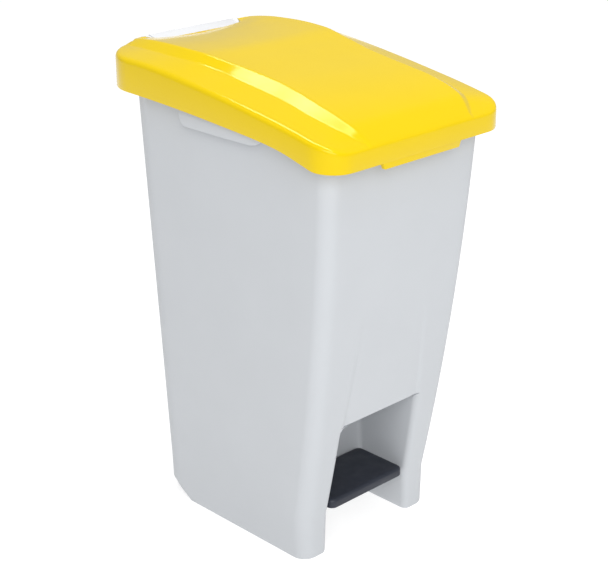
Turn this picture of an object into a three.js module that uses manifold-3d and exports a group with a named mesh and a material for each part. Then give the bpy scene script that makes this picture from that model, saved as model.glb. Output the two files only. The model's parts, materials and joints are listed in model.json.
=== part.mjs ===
// Ninety-litre pedal bin for a ward: a tapered tub on two front legs and two rear wheels, a
// hooded lid hinged on the rear handle, and a foot pedal whose lever lifts the lid through a
// vertical rod behind the tub. Millimetres, +Z up, front towards -Y, origin on the floor under
// the middle of the bin.
import * as THREE from 'three';
import { mergeVertices } from 'three/addons/utils/BufferGeometryUtils.js';
import Module from 'manifold-3d';

const wasm = await Module();
wasm.setup();

// ---- driving dimensions ----
const FIT = 0.3;                    // clearance between touching pieces
const WALL = 3;                     // moulded wall thickness
const LID = {
  halfWidth: 200, front: -268, rear: 268, frontRadius: 46, rearRadius: 76, wall: 3, edgeDrop: 5,
};
const TUB = { floorZ: 71, floor: 4, frontRadius: 26, rearRadius: 57 };
const KINK_Z = 72;                  // below this the tub's walls stand upright
const TUB_LEVELS = [KINK_Z, 176, 280, 384, 490, 595, 697];
const RIM = {
  frontY: -228, frontZ: 735, rearY: 228, rearZ: 783, bead: 5, beadHeight: 8, beadEndY: 185,
};
const ALCOVE = { halfFloor: 96.8, halfTop: 88.9, top: 238, backY: -57 };
const HINGE = { y: 255, z: 793, pinRadius: 4 };
const HANDLE = { inner: 241.5, outer: 268, innerZ: 800, outerZ: 806, half: 91.6, flare: 18 };
const PEDAL_AXIS = { y: 63, z: 45, radius: 4 };
const TREAD = {
  half: 88, front: -167, back: -60, top: 91, height: 16, corner: 12, wall: 4, plate: 5,
};
const ROD = { y: 224, radius: 4, footRadius: 7 };
const CRANK = { reach: 34, angle: 35, pinRadius: 3, play: 0.8 };
const LEVER = { half: 15, thick: 6, rearTop: 33, endY: 233 };
const WHEEL = {
  y: 150, radius: 33, width: 26, inner: 102, rim: 24, dish: 18, nave: 11, web: 4, axle: 4,
};
const GROOVE = { half: 20, floorY: 207 };
const SCREW = { radius: 2, head: 4, headHeight: 2.4, point: 2 };
const GRIP = { rear: 77, front: -120, top: 733, bottom: 707, outer: 190 };
const FAR = 1000;                   // past every surface, for cutting shapes
const TUB_TOP = 800;                // top of the tub's block before the sloping rim is cut
const SIDES = [['left', -1], ['right', 1]];

// ---- colours ----
const paint = (color, roughness, metalness = 0) =>
  new THREE.MeshStandardMaterial({ color, roughness, metalness });
const YELLOW = paint(0xf5d11c, 0.32);
const WHITE = paint(0xd2d5d9, 0.45);
const PALE = paint(0xeef0f6, 0.4);
const DARK = paint(0x262a34, 0.55);
const STEEL = paint(0xb4b6b8, 0.3, 1);
const NYLON = paint(0xe4e2da, 0.5);
const RUBBER = paint(0x1c1d20, 0.85);
const HUB = paint(0x7d8288, 0.5);

// ---- solids ----
const bin = new THREE.Group();

function solid(geometry) {
  const bare = geometry.index ? geometry.toNonIndexed() : geometry.clone();
  bare.deleteAttribute('normal');
  bare.deleteAttribute('uv');
  const merged = mergeVertices(bare, 1e-4);
  return new wasm.Manifold(new wasm.Mesh({
    numProp: 3,
    vertProperties: new Float32Array(merged.attributes.position.array),
    triVerts: new Uint32Array(merged.index.array),
  }));
}

function add(name, body, material) {
  const shape = body instanceof wasm.Manifold ? body : solid(body);
  const mesh = shape.getMesh();
  const geometry = new THREE.BufferGeometry();
  geometry.setAttribute('position', new THREE.BufferAttribute(mesh.vertProperties, 3));
  geometry.setIndex(new THREE.BufferAttribute(mesh.triVerts, 1));
  geometry.computeVertexNormals();
  const piece = new THREE.Mesh(geometry, material);
  piece.name = name;
  bin.add(piece);
  return shape;
}

const outline = (points) => new THREE.Shape(points.map(([u, v]) => new THREE.Vector2(u, v)));
const AXES = {
  x: new THREE.Matrix4().makeBasis(
    new THREE.Vector3(0, 1, 0), new THREE.Vector3(0, 0, 1), new THREE.Vector3(1, 0, 0)),
  y: new THREE.Matrix4().makeBasis(
    new THREE.Vector3(0, 0, 1), new THREE.Vector3(1, 0, 0), new THREE.Vector3(0, 1, 0)),
  z: new THREE.Matrix4(),
};

// An outline pushed along an axis: for x it is drawn in (y, z), for y in (z, x), for z in (x, y).
function extrude(axis, shape, from, to, curveSegments = 6) {
  const geometry = new THREE.ExtrudeGeometry(
    Array.isArray(shape) ? outline(shape) : shape,
    { depth: Math.abs(to - from), bevelEnabled: false, curveSegments });
  geometry.translate(0, 0, Math.min(from, to));
  geometry.applyMatrix4(AXES[axis]);
  return solid(geometry);
}

function box(x0, x1, y0, y1, z0, z1) {
  const geometry = new THREE.BoxGeometry(Math.abs(x1 - x0), y1 - y0, z1 - z0);
  geometry.translate((x0 + x1) / 2, (y0 + y1) / 2, (z0 + z1) / 2);
  return solid(geometry);
}

// A turned piece: profile points are (radius, position along the axis), centred on (a, b), which
// are (y, z) for an axis along x, (x, z) for y and (x, y) for z.
function turned(axis, profile, a, b, segments = 24) {
  const points = profile.map(([r, h]) => new THREE.Vector2(r, h));
  if (THREE.ShapeUtils.area(points) < 0) points.reverse();
  const geometry = new THREE.LatheGeometry(points, segments);
  if (axis === 'x') geometry.rotateZ(-Math.PI / 2).translate(0, a, b);
  if (axis === 'y') geometry.translate(a, 0, b);
  if (axis === 'z') geometry.rotateX(Math.PI / 2).translate(a, b, 0);
  return solid(geometry);
}

const rod = (axis, radius, from, to, a, b, segments = 24) =>
  turned(axis, [[0, from], [radius, from], [radius, to], [0, to]], a, b, segments);

function roundedPlan(half, front, rear, frontRadius, rearRadius, segments) {
  const points = [];
  const corners = [
    [half - frontRadius, front + frontRadius, frontRadius, -90],
    [half - rearRadius, rear - rearRadius, rearRadius, 0],
    [-half + rearRadius, rear - rearRadius, rearRadius, 90],
    [-half + frontRadius, front + frontRadius, frontRadius, 180],
  ];
  for (const [cx, cy, radius, start] of corners) {
    for (let i = 0; i <= segments; i += 1) {
      const angle = THREE.MathUtils.degToRad(start + 90 * i / segments);
      points.push([cx + radius * Math.cos(angle), cy + radius * Math.sin(angle)]);
    }
  }
  return points;
}

// ---- outlines of the tub and the lid ----
function curve(table, t) {
  if (t <= table[0][0]) return table[0][1];
  for (let i = 1; i < table.length; i += 1) {
    const [t0, v0] = table[i - 1];
    const [t1, v1] = table[i];
    if (t <= t1) return v0 + (v1 - v0) * (t - t0) / (t1 - t0);
  }
  return table[table.length - 1][1];
}

const KINK = { half: 153.3, front: -166.3, rear: 204 };
const TOP = { z: 697, half: 174.6, front: -239.3, rear: 228.5, bow: 10.7 };
const FLOOR_HALF = 151.3;
const rise = (z) => (z - KINK_Z) / (TOP.z - KINK_Z);

function tubHalf(z) {
  if (z < KINK_Z) return FLOOR_HALF + (KINK.half - FLOOR_HALF) * z / KINK_Z;
  return KINK.half + (TOP.half - KINK.half) * rise(z);
}

function tubFront(z) {
  if (z < KINK_Z) return KINK.front;
  const s = rise(z);
  return KINK.front + (TOP.front - KINK.front) * s - 4 * TOP.bow * s * (1 - s);
}

const tubRear = (z) => (z < KINK_Z ? KINK.rear : KINK.rear + (TOP.rear - KINK.rear) * rise(z));
const rimZ = (y) => RIM.frontZ + (RIM.rearZ - RIM.frontZ) * (y - RIM.frontY)
  / (RIM.rearY - RIM.frontY);

// The tub's tapering block, grown by `grow` on every side and cut to the heights z0..z1.
function tubBlock(grow, z0, z1) {
  const levels = [z0, ...TUB_LEVELS.filter((z) => z > z0 + 1 && z < z1 - 1), z1];
  const plan = roundedPlan(
    KINK.half + grow, KINK.front - grow, KINK.rear + grow,
    TUB.frontRadius + grow, TUB.rearRadius + grow, 6);
  const geometry = new THREE.ExtrudeGeometry(outline(plan), {
    depth: levels.length - 1, steps: levels.length - 1, bevelEnabled: false });
  const at = geometry.attributes.position;
  for (let i = 0; i < at.count; i += 1) {
    const z = levels[Math.round(at.getZ(i))];
    const side = Math.sign(at.getX(i));
    const shift = at.getY(i) < 0 ? tubFront(z) - KINK.front : tubRear(z) - KINK.rear;
    at.setXYZ(i, at.getX(i) + side * (tubHalf(z) - KINK.half), at.getY(i) + shift, z);
  }
  return solid(geometry);
}

// The lid's top along y: CREASE is the height of its outer edge, RIDGE that of the plateau's edge,
// DIP how far the plateau's middle lies below its edge, and SKIRT the height of the lower edge.
// A steep bevel runs from the plateau's edge, PLATEAU_HALF from the middle, to BEVEL_HALF.
const CREASE = [[-268, 727], [-247, 738], [-206, 747], [-123, 761], [-35, 774], [58, 785],
  [155, 793], [268, 795]];
const RIDGE = [[-268, 727], [-255, 738], [-228, 757], [-166, 776], [-102, 788], [-36, 797.5],
  [23, 806], [82, 813.5], [139, 815.5], [195, 813.5], [232, 810], [268, 804]];
const PLATEAU_HALF = [[-268, 104], [-256, 111], [-235, 127], [-200, 134], [-171, 134.5],
  [-137, 130.5], [-99, 125], [-60, 118], [-31, 119], [-8, 124.5], [10, 133], [45, 138],
  [85, 140], [139, 138], [200, 134], [268, 128]];
const BEVEL_HALF = [[-268, 107], [-258, 119.5], [-240, 134.7], [-212, 144.5], [-166, 147],
  [-107, 145], [-40, 144], [14, 145], [72, 151], [116, 157], [172, 156], [231, 150], [268, 146]];
const BEVEL_DROP = [[-268, 0], [-258, 1.5], [-240, 3.5], [-212, 6], [-166, 9], [-107, 12],
  [-40, 13], [116, 13], [172, 12], [231, 10], [268, 6]];
const DIP = [[-100, 0], [60, 2], [160, 6], [232, 9], [241, 9.5], [268, 0]];
const SKIRT = [[-268, 697], [-235, 699], [-210, 705], [-165, 716], [-122, 722], [-33, 729],
  [60, 735], [157, 739], [268, 741]];

function lidTop(x, y) {
  const across = Math.abs(x);
  const half = curve(PLATEAU_HALF, y);
  const ridge = curve(RIDGE, y);
  const crease = Math.min(curve(CREASE, y), ridge);
  if (across <= half) return ridge - curve(DIP, y) * (1 - (across / half) ** 2);
  const edge = curve(BEVEL_HALF, y);
  const low = Math.max(ridge - curve(BEVEL_DROP, y), crease);
  if (across <= edge) return ridge + (low - ridge) * (across - half) / (edge - half);
  return low + (crease - low) * (across - edge) / (LID.halfWidth - edge);
}

const LID_SLOPE = 1.1;              // drop of the inner face per unit of wall, on the sloping top
const LID_GRID_X = [0, 0.25, 0.46, 0.585, 0.65, 0.7, 0.78, 0.85, 0.92, 0.97, 1];
const LID_GRID_Y = [0, 0.15, 0.3, 0.45, 0.58, 0.7, 0.78, 0.83, 0.88, 0.93, 0.97, 1];

// A point of the square -1..1 by -1..1 carried onto the lid's rounded outline, shrunk by `inset`.
function lidPlan(u, v, inset) {
  const ring = Math.max(Math.abs(u), Math.abs(v), 1e-9);
  const half = LID.halfWidth - inset;
  const depth = LID.rear - inset;
  const radius = (v < 0 ? LID.frontRadius : LID.rearRadius) - inset;
  const x = half * u / ring;
  const y = depth * v / ring;
  const cx = Math.sign(u) * (half - radius);
  const cy = Math.sign(v) * (depth - radius);
  const dx = x - cx;
  const dy = y - cy;
  if (dx * Math.sign(u) <= 0 || dy * Math.sign(v) <= 0) return [ring * x, ring * y];
  const k = radius / Math.hypot(dx, dy);
  return [ring * (cx + dx * k), ring * (cy + dy * k)];
}

// The lid's block: its top follows lidTop, lowered by `inset`, and its underside the skirt's edge,
// lowered by `below`. The outermost ring is lowered a little, which rounds the top edge.
function lidBlock(inset, below) {
  const nx = 2 * (LID_GRID_X.length - 1);
  const ny = 2 * (LID_GRID_Y.length - 1);
  const geometry = new THREE.BoxGeometry(nx, ny, 1, nx, ny, 1);
  const at = geometry.attributes.position;
  const node = (grid, i) => Math.sign(i) * grid[Math.abs(i)];
  for (let i = 0; i < at.count; i += 1) {
    const u = node(LID_GRID_X, Math.round(at.getX(i)));
    const v = node(LID_GRID_Y, Math.round(at.getY(i)));
    const [x, y] = lidPlan(u, v, inset);
    const ring = Math.max(Math.abs(u), Math.abs(v));
    const edge = ring > 0.99 ? LID.edgeDrop : 0;
    const top = lidTop(x, y) - inset * LID_SLOPE - edge;
    at.setXYZ(i, x, y, at.getZ(i) > 0 ? top : curve(SKIRT, y) - below);
  }
  return solid(geometry);
}

// ---- fasteners ----
const SCREW_SEGMENTS = 16;

function screwBody(axis, dir, seat, length, a, b) {
  const tip = seat + dir * length;
  const head = seat - dir * SCREW.headHeight;
  const profile = [[0, head], [SCREW.head, head], [SCREW.head, seat], [SCREW.radius, seat],
    [SCREW.radius, tip - dir * SCREW.point], [0, tip]];
  return turned(axis, profile, a, b, SCREW_SEGMENTS);
}

const screwHole = (axis, from, to, a, b) => rod(axis, SCREW.radius + FIT, from, to, a, b,
  SCREW_SEGMENTS);

// ---- tub ----
const HANDLE_SEAT = 236;            // the screw heads' seat on the handle's feet
const RAIL_SCREWS = [[75, 715], [75, 750]];
const GUIDE_HEIGHTS = { upper: 690, lower: 130 };
const GUIDE = { half: 18, height: 20, outerY: 231, screwX: 12, play: 0.6, screwLength: 34 };
const SOLE = { rearY: -92, thick: 4, legTop: 40 };
const HEEL = { frontY: 121, rearY: 163, height: 25 };
const LEVER_GAP = 70;               // half width of the gap under the alcove's back wall
const BRACKET = { inner: 92, outer: 98, halfY: 18, bottom: 20 };
const AXLE_BOSS = { radius: 9, inner: 130, outer: 150 };
const AXLE = { inner: 88, outer: 146.6, boreInner: 80, boreOuter: 147 };
const BEARING = { inner: 60, outer: 66, halfY: 14, bottom: 31, bushRadius: 7 };
const BUFFER = { x: 118, y: -222, radius: 7, height: 4.4, gap: 1.2, stemRadius: 3, stemTop: 11 };

const alcoveHalf = (z) => ALCOVE.halfFloor + (ALCOVE.halfTop - ALCOVE.halfFloor) * z / ALCOVE.top;

// The space for the pedal between the legs, grown by `grow` on every side.
function alcove(grow) {
  const bottom = -10;
  const low = alcoveHalf(bottom) + grow;
  const high = ALCOVE.halfTop + grow;
  const top = ALCOVE.top + grow;
  return extrude('y', [[bottom, -low], [top, -high], [top, high], [bottom, low]],
    -FAR, ALCOVE.backY + grow);
}

const aboveRim = (drop) => extrude('x', [[-FAR, rimZ(-FAR) - drop], [FAR, rimZ(FAR) - drop],
  [FAR, 2 * FAR], [-FAR, 2 * FAR]], -FAR, FAR);

function makeTub() {
  const bead = tubBlock(RIM.bead, 600, TUB_TOP).intersect(aboveRim(RIM.beadHeight))
    .subtract(box(-FAR, FAR, RIM.beadEndY, FAR, 0, FAR));
  const wide = GROOVE.half + WALL;
  const groove = box(-GROOVE.half, GROOVE.half, GROOVE.floorY, FAR, -5, FAR);
  const grooveWall = box(-wide, wide, GROOVE.floorY - WALL, FAR, -5, FAR);
  const inside = tubBlock(-WALL, TUB.floorZ + TUB.floor, TUB_TOP).subtract(alcove(WALL))
    .subtract(grooveWall);
  const under = tubBlock(-WALL, -5, TUB.floorZ).subtract(alcove(WALL));
  const soles = tubBlock(0, 0, SOLE.legTop)
    .intersect(box(-FAR, FAR, -FAR, SOLE.rearY, 0, SOLE.thick)).subtract(alcove(0));
  const heel = extrude('x', [[HEEL.frontY, -5], [HEEL.frontY, 0], [HEEL.rearY, HEEL.height],
    [FAR, HEEL.height], [FAR, -5]], -FAR, FAR);
  let tub = tubBlock(0, 0, TUB_TOP).add(bead).subtract(aboveRim(0))
    .subtract(inside).subtract(under).subtract(alcove(0)).subtract(groove)
    .add(soles).subtract(heel)
    .subtract(box(-LEVER_GAP, LEVER_GAP, ALCOVE.backY - 5, ALCOVE.backY + 5, -5, TUB.floorZ))
    .subtract(box(-GROOVE.half, GROOVE.half, 190, 230, -5, TUB.floorZ));
  for (const [, side] of SIDES) {
    const bracket = box(side * BRACKET.inner, side * BRACKET.outer, WHEEL.y - BRACKET.halfY,
      WHEEL.y + BRACKET.halfY, BRACKET.bottom, TUB.floorZ + 1);
    const boss = rod('x', AXLE_BOSS.radius, side * AXLE_BOSS.inner, side * AXLE_BOSS.outer,
      WHEEL.y, WHEEL.radius, 20);
    const ear = box(side * BEARING.inner, side * BEARING.outer, PEDAL_AXIS.y - BEARING.halfY,
      PEDAL_AXIS.y + BEARING.halfY, BEARING.bottom, TUB.floorZ + 1);
    tub = tub.add(bracket).add(boss).add(ear);
    tub = tub.subtract(rod('x', WHEEL.axle + FIT, side * AXLE.boreInner, side * AXLE.boreOuter,
      WHEEL.y, WHEEL.radius));
    tub = tub.subtract(rod('x', BEARING.bushRadius + FIT, side * (BEARING.inner - 10),
      side * (BEARING.outer + 10), PEDAL_AXIS.y, PEDAL_AXIS.z));
    for (const [x, z] of RAIL_SCREWS) {
      tub = tub.subtract(screwHole('y', 190, 250, side * x, z));
    }
    for (const z of Object.values(GUIDE_HEIGHTS)) {
      tub = tub.subtract(screwHole('y', 190, 250, side * GUIDE.screwX, z + GUIDE.height / 2));
    }
  }
  return tub;
}
add('body_shell', makeTub(), WHITE);

// ---- rear handle, which carries the lid's hinge ----
const HANDLE_FOOT = { inner: 62, outer: 88, bottom: 700, top: 772, thick: 6 };

function makeHandle() {
  const { inner, outer, innerZ, outerZ, half } = HANDLE;
  const foot = HANDLE_FOOT;
  const bar = [[inner, innerZ - 3], [inner + 2.5, innerZ + 0.2], [outer - 3, outerZ],
    [outer, outerZ - 3], [outer, HINGE.z - 5], [outer - 4, HINGE.z - 9], [inner + 6, HINGE.z - 9],
    [inner, HINGE.z - 2]];
  const arm = [[inner + 8, HINGE.z - 8], [outer - 6, HINGE.z - 8], [inner, foot.top - 10],
    [tubRear(foot.bottom) + foot.thick, foot.bottom], [tubRear(foot.bottom) + FIT, foot.bottom],
    [tubRear(foot.top) + FIT, foot.top]];
  let handle = extrude('x', bar, -half, half);
  for (const [, side] of SIDES) {
    handle = handle.add(extrude('x', arm, side * foot.inner, side * foot.outer));
    handle = handle.subtract(
      rod('x', HINGE.pinRadius + FIT, side * 76, side * 100, HINGE.y, HINGE.z));
    for (const [x, z] of RAIL_SCREWS) {
      handle = handle.subtract(screwHole('y', 200, 300, side * x, z));
      handle = handle.subtract(
        rod('y', SCREW.head + 1, HANDLE_SEAT, 300, side * x, z, SCREW_SEGMENTS));
    }
  }
  return handle;
}
add('rear_handle', makeHandle(), PALE);

for (const [label, side] of SIDES) {
  RAIL_SCREWS.forEach(([x, z], i) => {
    const screw = screwBody('y', -1, HANDLE_SEAT + FIT, 16, side * x, z);
    add(`handle_screw_${label}_${i + 1}`, screw, STEEL);
  });
}

// ---- lid ----
const NOTCH = { gap: 0.6, frontGap: 1.3, cheek: 3, bottom: 784 };
const REAR_CUT = { half: 172, y: 238, top: 784 };
const FINGER_TAB = { half: 96, chamfer: 12, bottom: 687, top: 716, front: -266, rear: -259 };
const CRANK_SCREW = { x: 15, y: 225, seat: 788.2, length: 11 };
const CRANK_MOUNT = { inner: 10, outer: 20, front: 214, rear: 237, bottom: 792 };

const notchX = (y) => HANDLE.half + NOTCH.gap + HANDLE.flare * (y - HANDLE.inner)
  / (HANDLE.outer - HANDLE.inner);

// The recess in the lid's top for the handle's bar and its flared ends, grown by `grow`.
function notch(grow) {
  const front = HANDLE.inner - NOTCH.frontGap - grow;
  const rear = 290;
  return extrude('z', [[-notchX(front) - grow, front], [notchX(front) + grow, front],
    [notchX(rear) + grow, rear], [-notchX(rear) - grow, rear]], 600, FAR);
}

function makeLid() {
  const outer = lidBlock(0, 0);
  const cheeks = box(-125, 125, 236, 266, NOTCH.bottom, FAR).intersect(outer)
    .intersect(notch(NOTCH.cheek));
  const tab = extrude('y', [[FINGER_TAB.bottom, -FINGER_TAB.half + FINGER_TAB.chamfer],
    [FINGER_TAB.top, -FINGER_TAB.half], [FINGER_TAB.top, FINGER_TAB.half],
    [FINGER_TAB.bottom, FINGER_TAB.half - FINGER_TAB.chamfer]], FINGER_TAB.front, FINGER_TAB.rear);
  let lid = outer.subtract(lidBlock(LID.wall, 60))
    .subtract(box(-REAR_CUT.half, REAR_CUT.half, REAR_CUT.y, FAR, 0, REAR_CUT.top))
    .add(cheeks).subtract(notch(0))
    .add(tab.intersect(lidBlock(0, 30)));
  for (const [, side] of SIDES) {
    const x = side * BUFFER.x;
    const column = rod('z', BUFFER.radius + 2, rimZ(BUFFER.y) + 6, FAR, x, BUFFER.y);
    const mount = box(side * CRANK_MOUNT.inner, side * CRANK_MOUNT.outer, CRANK_MOUNT.front,
      CRANK_MOUNT.rear, CRANK_MOUNT.bottom, FAR);
    lid = lid.add(column.intersect(outer)).add(mount.intersect(outer))
      .subtract(rod('z', BUFFER.stemRadius + FIT, 600, rimZ(BUFFER.y) + 13, x, BUFFER.y))
      .subtract(screwHole('z', 700, 800, side * CRANK_SCREW.x, CRANK_SCREW.y));
  }
  return lid;
}
add('lid_shell', makeLid(), YELLOW);

const HINGE_BLOCK = { bottom: 785, rear: 266, front: HANDLE.inner + 0.5, pinEnd: 97.5 };

for (const [label, side] of SIDES) {
  const base = rimZ(BUFFER.y) + BUFFER.gap;
  const { radius, height, stemRadius, stemTop } = BUFFER;
  const buffer = [[0, base], [radius, base], [radius, base + height], [stemRadius, base + height],
    [stemRadius, base + stemTop], [0, base + stemTop]];
  add(`lid_buffer_${label}`, turned('z', buffer, side * BUFFER.x, BUFFER.y), RUBBER);

  const { bottom, front, rear, pinEnd } = HINGE_BLOCK;
  const near = side * (HANDLE.half + NOTCH.gap);
  const block = extrude('z', [[near, front], [near, rear], [side * (notchX(rear) - FIT), rear],
    [side * (notchX(front) - FIT), front]], bottom, FAR);
  const cap = extrude('x', [[HANDLE.inner, bottom], [rear, bottom], [rear, HANDLE.outerZ - 2],
    [HANDLE.inner, HANDLE.innerZ - 2]], -FAR, FAR);
  const bore = rod('x', HINGE.pinRadius + FIT, side * 80, side * 98, HINGE.y, HINGE.z);
  add(`hinge_block_${label}`, block.intersect(cap).subtract(bore), PALE);
  const pin = rod('x', HINGE.pinRadius, side * 76.5, side * pinEnd, HINGE.y, HINGE.z);
  add(`hinge_pin_${label}`, pin, STEEL);
}

// ---- lid crank and its pin ----
const crankAngle = THREE.MathUtils.degToRad(CRANK.angle);
const CRANK_PIN = {
  y: HINGE.y - CRANK.reach * Math.cos(crankAngle),
  z: HINGE.z - CRANK.reach * Math.sin(crankAngle),
};

const CRANK_PLATE = { half: 20, front: 214.5, rear: 234.8, bottom: 788.5, top: 791.6 };
const CHEEK = { inner: 5.8, outer: 8.8 };

function makeCrank() {
  const { y, z } = CRANK_PIN;
  const plate = CRANK_PLATE;
  const cheek = [[216, 790], [234.5, 790], [y + 7, z + 2], [y + 4, z - 7], [y - 4, z - 7],
    [y - 8, z + 2]];
  let crank = box(-plate.half, plate.half, plate.front, plate.rear, plate.bottom, plate.top);
  for (const [, side] of SIDES) {
    crank = crank.add(extrude('x', cheek, side * CHEEK.inner, side * CHEEK.outer))
      .subtract(screwHole('z', 700, 900, side * CRANK_SCREW.x, CRANK_SCREW.y));
  }
  return crank.subtract(rod('x', CRANK.pinRadius + FIT, -20, 20, y, z));
}
add('lid_crank', makeCrank(), STEEL);
add('crank_pin', rod('x', CRANK.pinRadius, -11, 11, CRANK_PIN.y, CRANK_PIN.z, 20), STEEL);
for (const [label, side] of SIDES) {
  const { x, y, seat, length } = CRANK_SCREW;
  add(`crank_screw_${label}`, screwBody('z', 1, seat, length, side * x, y), STEEL);
}

// ---- lift rod ----
const ROD_HEAD = { half: 9.4, slotReach: 6.7, below: 17, above: 9, rodTop: 7.3 };
const SLOT_CENTRE = CRANK_PIN.y - (CRANK.reach - CRANK.reach * Math.cos(crankAngle)) / 2;

function makeRodHead() {
  const { y, z } = { y: SLOT_CENTRE, z: CRANK_PIN.z };
  const half = ROD_HEAD.half;
  const reach = ROD_HEAD.slotReach;
  const tall = CRANK.pinRadius + CRANK.play;
  return box(-5, 5, y - half, y + half, z - ROD_HEAD.below, z + ROD_HEAD.above)
    .subtract(box(-6, 6, y - reach, y + reach, z - tall, z + tall))
    .subtract(rod('z', ROD.radius + FIT, 700, z - ROD_HEAD.rodTop + FIT, 0, ROD.y));
}
add('rod_head', makeRodHead(), NYLON);

const FOOT = { z: LEVER.rearTop + 0.5, height: 28, socket: 15 };
add('lift_rod', rod('z', ROD.radius, FOOT.z + FOOT.socket, CRANK_PIN.z - ROD_HEAD.rodTop, 0,
  ROD.y), STEEL);

function makeRodFoot() {
  const r = ROD.footRadius;
  const bore = ROD.radius + FIT;
  const socketFloor = FOOT.z + FOOT.socket - 0.4;
  const profile = [];
  for (let i = 0; i <= 6; i += 1) {
    const angle = Math.PI / 2 * i / 6;
    profile.push([r * Math.sin(angle), FOOT.z + r - r * Math.cos(angle)]);
  }
  profile.push([r, FOOT.z + FOOT.height], [bore, FOOT.z + FOOT.height], [bore, socketFloor],
    [0, socketFloor]);
  return turned('z', profile, 0, ROD.y);
}
add('rod_foot', makeRodFoot(), NYLON);

for (const [label, z] of Object.entries(GUIDE_HEIGHTS)) {
  const top = z + GUIDE.height;
  const middle = z + GUIDE.height / 2;
  const wall = Math.min(tubRear(top), GROOVE.floorY) + FIT;
  let guide = box(-GUIDE.half, GUIDE.half, wall, GUIDE.outerY, z, top)
    .subtract(rod('z', ROD.radius + GUIDE.play, z - 5, top + 5, 0, ROD.y));
  for (const [hand, side] of SIDES) {
    const x = side * GUIDE.screwX;
    const screw = screwBody('y', -1, GUIDE.outerY + FIT, GUIDE.screwLength, x, middle);
    guide = guide.subtract(screwHole('y', 190, 300, x, middle));
    add(`guide_screw_${label}_${hand}`, screw, STEEL);
  }
  add(`rod_guide_${label}`, guide, NYLON);
}

// ---- pedal ----
const TREAD_SCREWS = [-130, -92];
const TREAD_SEAT = 74;              // the tread's underside on top of the lever
const HUB_BODY = { radius: 10, half: 50 };

function makeLever() {
  const { y, z, radius } = PEDAL_AXIS;
  const t = LEVER.thick;
  const top = [[-150, TREAD_SEAT], [-75, TREAD_SEAT], [-40, 62], [y - 8, z + 8], [y + 8, z + 6],
    [y + 44, LEVER.rearTop], [LEVER.endY, LEVER.rearTop]];
  const path = [...top, ...top.map(([a, b]) => [a, b - t]).reverse()];
  let lever = extrude('x', path, -LEVER.half, LEVER.half)
    .add(rod('x', HUB_BODY.radius, -HUB_BODY.half, HUB_BODY.half, y, z))
    .subtract(rod('x', radius + FIT, -60, 60, y, z));
  for (const at of TREAD_SCREWS) {
    lever = lever.subtract(screwHole('z', 0, 100, 0, at));
  }
  return lever;
}
add('pedal_lever', makeLever(), STEEL);

function makeTread() {
  const { half, front, back, top, height, corner, wall, plate } = TREAD;
  const shape = new THREE.Shape();
  const quarter = Math.PI / 2;
  shape.moveTo(-half + corner, front).lineTo(half - corner, front);
  shape.absarc(half - corner, front + corner, corner, -quarter, 0);
  shape.absarc(half - corner, back - corner, corner, 0, quarter);
  shape.absarc(-half + corner, back - corner, corner, quarter, 2 * quarter);
  shape.absarc(-half + corner, front + corner, corner, 2 * quarter, 3 * quarter);
  const slot = LEVER.half + FIT;
  let tread = extrude('z', shape, top - height, top)
    .subtract(box(-slot, slot, -151, back + 5, 0, TREAD_SEAT + FIT));
  for (const [, side] of SIDES) {
    tread = tread.subtract(box(side * (LEVER.half + wall), side * (half - wall), front + wall,
      back - wall, 0, top - plate));
  }
  for (const at of TREAD_SCREWS) {
    tread = tread.subtract(screwHole('z', 0, top - 4, 0, at));
  }
  return tread;
}
add('pedal_tread', makeTread(), DARK);
TREAD_SCREWS.forEach((at, i) => {
  const screw = screwBody('z', 1, TREAD_SEAT - LEVER.thick - FIT, 16, 0, at);
  add(`tread_screw_${i + 1}`, screw, STEEL);
});

// A ring around the pedal's axis between the distances `from` and `to` from the middle plane.
function axisRing(side, outer, from, to) {
  return rod('x', outer, side * from, side * to, PEDAL_AXIS.y, PEDAL_AXIS.z).subtract(
    rod('x', PEDAL_AXIS.radius + FIT, side * (from - 1), side * (to + 1), PEDAL_AXIS.y,
      PEDAL_AXIS.z));
}

const BUSH = { inner: 54, outer: 67, flange: 9.5 };
const CLIP = { inner: 68, outer: 70.5, radius: 8 };
add('pedal_axle', rod('x', PEDAL_AXIS.radius, -76, 76, PEDAL_AXIS.y, PEDAL_AXIS.z), STEEL);
for (const [label, side] of SIDES) {
  const bush = axisRing(side, BEARING.bushRadius, BUSH.inner, BUSH.outer)
    .add(axisRing(side, BUSH.flange, BUSH.inner, BEARING.inner - FIT));
  add(`pedal_bush_${label}`, bush, NYLON);
  add(`axle_clip_${label}`, axisRing(side, CLIP.radius, CLIP.inner, CLIP.outer), STEEL);
}

// ---- rear wheels ----
for (const [label, side] of SIDES) {
  const a = WHEEL.inner;
  const b = WHEEL.inner + WHEEL.width;
  const mid = (a + b) / 2;
  const spin = (profile) =>
    turned('x', profile.map(([r, h]) => [r, side * h]), WHEEL.y, WHEEL.radius, 32);
  const { nave, dish, rim, radius, web } = WHEEL;
  const bore = WHEEL.axle + FIT;
  const tyreInner = rim + FIT;
  add(`wheel_hub_${label}`, spin([[bore, a], [nave, a], [nave, mid - web], [dish, mid - web],
    [dish, a + 3], [rim, a + 3], [rim, b - 3], [dish, b - 3], [dish, mid + web],
    [nave, mid + web], [nave, b], [bore, b], [bore, a]]), HUB);
  add(`wheel_tyre_${label}`, spin([[tyreInner, a + 3], [radius - 4, a + 3], [radius, a + 8],
    [radius, b - 8], [radius - 4, b - 3], [tyreInner, b - 3], [tyreInner, a + 3]]), RUBBER);
  const axle = rod('x', WHEEL.axle, side * AXLE.inner, side * AXLE.outer, WHEEL.y, radius);
  add(`wheel_axle_${label}`, axle, STEEL);
}

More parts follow.
